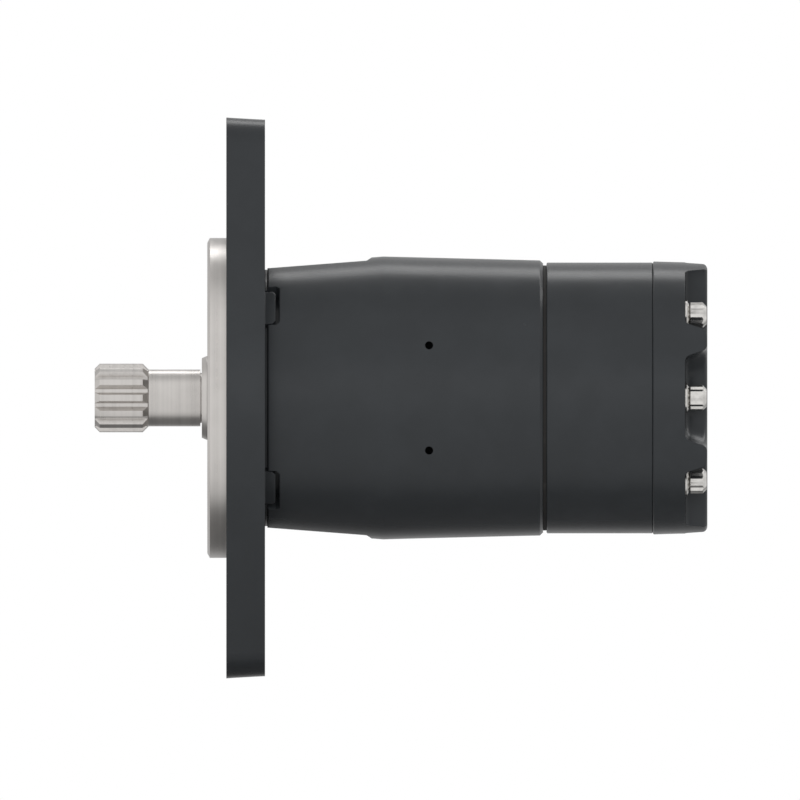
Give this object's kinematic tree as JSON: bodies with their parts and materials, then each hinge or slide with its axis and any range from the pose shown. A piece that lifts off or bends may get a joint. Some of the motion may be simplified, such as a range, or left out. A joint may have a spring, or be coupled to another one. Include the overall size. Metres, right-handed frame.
{
  "type": "orbital hydraulic motor",
  "caption": "Low-speed orbital hydraulic motor: painted round housing, two-ear flange with pilot, splined output shaft, roller gear set driven through a tilting crowned link.",
  "frame": {"origin": "Centre of the flange's mounting face, on the shaft axis.", "axes": "The shaft points to -X and the body lies to +X. Z runs through both flange bolt holes. The ports open to +Y."},
  "size_m": [0.1946, 0.108, 0.1782],
  "materials": {
    "black_paint": "satin black machinery paint on cast iron",
    "machined_steel": "bare turned steel",
    "plated_steel": "bright plated fastener steel",
    "blackened_steel": "black oxide screw steel",
    "hardened_steel": "ground hardened steel",
    "bronze": "turned bearing bronze",
    "seal_rubber": "matt nitrile rubber"
  },
  "bodies": {
    "motor_body": {"main_housing": "black_paint", "mounting_flange": "black_paint", "front_cover": "machined_steel", "cover_screws": "blackened_steel", "dust_seal": "seal_rubber", "shaft_seal": "seal_rubber", "seal_backup_washer": "hardened_steel", "cover_seal_ring": "seal_rubber", "bearing_ring": "hardened_steel", "thrust_washer_front": "hardened_steel", "thrust_ring": "bronze", "drain_plug": "plated_steel", "drain_plug_seal": "seal_rubber", "wear_plate": "hardened_steel", "stator_ring": "black_paint", "end_cover": "black_paint", "end_cover_bolts": "plated_steel", "housing_seal_ring": "seal_rubber", "stator_seal_ring": "seal_rubber", "end_cover_seal_ring": "seal_rubber"},
    "shaft": {"output_shaft": "machined_steel", "thrust_washer_rear": "hardened_steel"},
    "radial_bearing_cage": {"bearing_cage": "hardened_steel", "bearing_needles": "hardened_steel"},
    "thrust_bearing_cage": {"thrust_cage": "hardened_steel", "thrust_needles": "hardened_steel"},
    "orbit_spacer": {"drive_spacer": "hardened_steel"},
    "orbiting_rotor": {"rotor": "hardened_steel"},
    "tilting_link": {"drive_link": "hardened_steel"},
    "roller_1": {"roller_1": "hardened_steel"},
    "roller_2": {"roller_2": "hardened_steel"},
    "roller_3": {"roller_3": "hardened_steel"},
    "roller_4": {"roller_4": "hardened_steel"},
    "roller_5": {"roller_5": "hardened_steel"},
    "roller_6": {"roller_6": "hardened_steel"},
    "roller_7": {"roller_7": "hardened_steel"}
  },
  "joints": [
    {"name": "shaft_spin", "type": "hinge", "parent": "motor_body", "child": "shaft", "pos_m": [0, 0, 0], "axis": [1, 0, 0], "continuous": true},
    {"name": "radial_cage_spin", "type": "hinge", "parent": "motor_body", "child": "radial_bearing_cage", "pos_m": [0.01177, 0, 0], "axis": [1, 0, 0], "continuous": true},
    {"name": "thrust_cage_spin", "type": "hinge", "parent": "motor_body", "child": "thrust_bearing_cage", "pos_m": [0.01935, 0, 0], "axis": [1, 0, 0], "continuous": true},
    {"name": "rotor_orbit", "type": "hinge", "parent": "motor_body", "child": "orbit_spacer", "pos_m": [0.1186, 0, 0], "axis": [1, 0, 0], "continuous": true},
    {"name": "rotor_spin", "type": "hinge", "parent": "orbit_spacer", "child": "orbiting_rotor", "pos_m": [0.1186, 0.0023, 0], "axis": [1, 0, 0], "continuous": true},
    {"name": "link_spin", "type": "hinge", "parent": "orbit_spacer", "child": "tilting_link", "pos_m": [0.06, 0, 0], "axis": [0.9992, 0.0392, 0], "continuous": true},
    {"name": "roller_1_spin", "type": "hinge", "parent": "motor_body", "child": "roller_1", "pos_m": [0.1186, 0.0285, 0], "axis": [1, 0, 0], "continuous": true},
    {"name": "roller_2_spin", "type": "hinge", "parent": "motor_body", "child": "roller_2", "pos_m": [0.1186, 0.01777, -0.02228], "axis": [1, 0, 0], "continuous": true},
    {"name": "roller_3_spin", "type": "hinge", "parent": "motor_body", "child": "roller_3", "pos_m": [0.1186, -0.00634, -0.02779], "axis": [1, 0, 0], "continuous": true},
    {"name": "roller_4_spin", "type": "hinge", "parent": "motor_body", "child": "roller_4", "pos_m": [0.1186, -0.02568, -0.01237], "axis": [1, 0, 0], "continuous": true},
    {"name": "roller_5_spin", "type": "hinge", "parent": "motor_body", "child": "roller_5", "pos_m": [0.1186, -0.02568, 0.01237], "axis": [1, 0, 0], "continuous": true},
    {"name": "roller_6_spin", "type": "hinge", "parent": "motor_body", "child": "roller_6", "pos_m": [0.1186, -0.00634, 0.02779], "axis": [1, 0, 0], "continuous": true},
    {"name": "roller_7_spin", "type": "hinge", "parent": "motor_body", "child": "roller_7", "pos_m": [0.1186, 0.01777, 0.02228], "axis": [1, 0, 0], "continuous": true}
  ],
  "couplings": [
    {"joint": "radial_cage_spin", "follows": "shaft_spin", "ratio": 0.4424},
    {"joint": "thrust_cage_spin", "follows": "shaft_spin", "ratio": 0.5},
    {"joint": "rotor_orbit", "follows": "shaft_spin", "ratio": -6},
    {"joint": "rotor_spin", "follows": "shaft_spin", "ratio": 7},
    {"joint": "link_spin", "follows": "shaft_spin", "ratio": 7}
  ]
}
